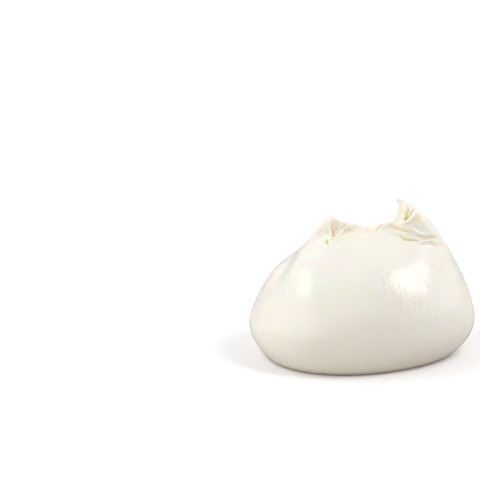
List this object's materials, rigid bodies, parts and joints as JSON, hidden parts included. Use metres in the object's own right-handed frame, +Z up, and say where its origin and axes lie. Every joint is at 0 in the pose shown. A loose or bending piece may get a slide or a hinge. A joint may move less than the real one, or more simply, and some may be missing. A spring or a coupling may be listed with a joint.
{
  "type": "burrata",
  "caption": "Fresh cheese pouch that sits on a flat base, its smooth skin pinched together at the top between a blunt ear and a curled horn.",
  "frame": {"origin": "middle of the bounding box at the base, on the surface that the cheese rests on", "axes": "+X along the pinched seam from the ear to the horn, +Y to the back, +Z up"},
  "size_m": [0.0776, 0.067, 0.0533],
  "materials": {
    "skin": "wet, soft white cheese skin with a satin gloss and warmer folds"
  },
  "bodies": {
    "root": {"burrata": "skin"}
  },
  "joints": []
}
